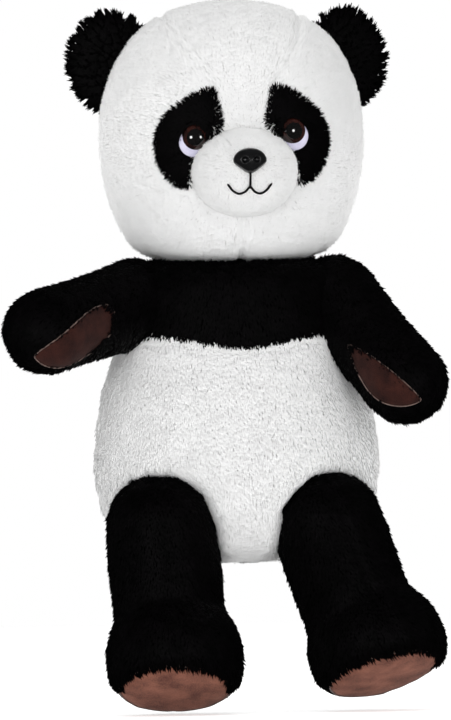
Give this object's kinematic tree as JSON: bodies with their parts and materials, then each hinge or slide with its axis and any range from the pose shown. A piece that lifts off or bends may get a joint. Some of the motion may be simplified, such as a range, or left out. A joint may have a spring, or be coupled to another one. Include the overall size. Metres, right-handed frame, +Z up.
{
  "type": "plush panda",
  "caption": "Upright stuffed plush panda with white head and belly, black limbs, ears and eye patches, brown pads, moulded eyes and nose, and limbs that swing.",
  "frame": {"origin": "centre of the bounding box in X and Y, at the level of the lowest heel", "axes": "+Z up along the body; the panda faces -Y, so its own left side is +X"},
  "size_m": [0.2636, 0.176, 0.4247],
  "materials": {
    "white_plush": "long-pile plush",
    "black_plush": "long-pile plush",
    "brown_velour": "short-nap velour",
    "fibre_filling": "loose polyester fibre",
    "eye_white_plastic": "polished",
    "eye_brown_plastic": "polished",
    "black_gloss_plastic": "polished",
    "washer_plastic": "moulded, matt",
    "black_thread": "twisted embroidery thread",
    "white_thread": "twisted sewing thread",
    "label_satin": "woven satin"
  },
  "bodies": {
    "torso": {"chest_yoke_front": "black_plush", "chest_yoke_back": "black_plush", "belly_panel": "white_plush", "back_panel_left": "white_plush", "back_panel_right": "white_plush", "body_stuffing": "fibre_filling", "tail_cover": "white_plush", "tail_wadding": "fibre_filling", "closing_stitches": "white_thread", "care_label": "label_satin"},
    "neck": {"neck_stuffing": "fibre_filling"},
    "head": {"forehead_gusset": "white_plush", "face_panel_left": "white_plush", "face_panel_right": "white_plush", "head_back_left": "white_plush", "head_back_right": "white_plush", "muzzle_cover": "white_plush", "eye_patch_left": "black_plush", "eye_patch_right": "black_plush", "ear_front_left": "black_plush", "ear_front_right": "black_plush", "ear_back_left": "black_plush", "ear_back_right": "black_plush", "ear_wadding_left": "fibre_filling", "ear_wadding_right": "fibre_filling", "head_stuffing": "fibre_filling", "eye_white_left": "eye_white_plastic", "eye_white_right": "eye_white_plastic", "eye_iris_left": "eye_brown_plastic", "eye_iris_right": "eye_brown_plastic", "eye_pupil_left": "black_gloss_plastic", "eye_pupil_right": "black_gloss_plastic", "eye_washer_left": "washer_plastic", "eye_washer_right": "washer_plastic", "nose": "black_gloss_plastic", "nose_washer": "washer_plastic", "mouth_stitch": "black_thread"},
    "arm_left": {"arm_outer_panel_left": "black_plush", "arm_inner_panel_left": "black_plush", "paw_pad_left": "brown_velour", "arm_stuffing_left": "fibre_filling"},
    "leg_left": {"leg_outer_panel_left": "black_plush", "leg_inner_panel_left": "black_plush", "sole_pad_left": "brown_velour", "leg_stuffing_left": "fibre_filling"},
    "arm_right": {"arm_outer_panel_right": "black_plush", "arm_inner_panel_right": "black_plush", "paw_pad_right": "brown_velour", "arm_stuffing_right": "fibre_filling"},
    "leg_right": {"leg_outer_panel_right": "black_plush", "leg_inner_panel_right": "black_plush", "sole_pad_right": "brown_velour", "leg_stuffing_right": "fibre_filling"}
  },
  "joints": [
    {"name": "neck_turn", "type": "hinge", "parent": "torso", "child": "neck", "pos_m": [0.01273, 0.01003, 0.27166], "axis": [0, 0, 1], "range_deg": [-30, 30]},
    {"name": "head_nod", "type": "hinge", "parent": "neck", "child": "head", "pos_m": [0.01273, 0.01003, 0.27166], "axis": [-1, 0, 0], "range_deg": [-12, 12]},
    {"name": "shoulder_left", "type": "hinge", "parent": "torso", "child": "arm_left", "pos_m": [0.07273, -0.00097, 0.24566], "axis": [0, -1, 0], "range_deg": [-9, 92]},
    {"name": "shoulder_right", "type": "hinge", "parent": "torso", "child": "arm_right", "pos_m": [-0.04727, -0.00097, 0.24566], "axis": [0, 1, 0], "range_deg": [-49, 52]},
    {"name": "hip_left", "type": "hinge", "parent": "torso", "child": "leg_left", "pos_m": [0.06273, -0.02497, 0.11166], "axis": [-1, 0, 0], "range_deg": [-8, 85]},
    {"name": "hip_right", "type": "hinge", "parent": "torso", "child": "leg_right", "pos_m": [-0.03727, -0.02497, 0.11166], "axis": [-1, 0, 0], "range_deg": [-8, 85]}
  ]
}
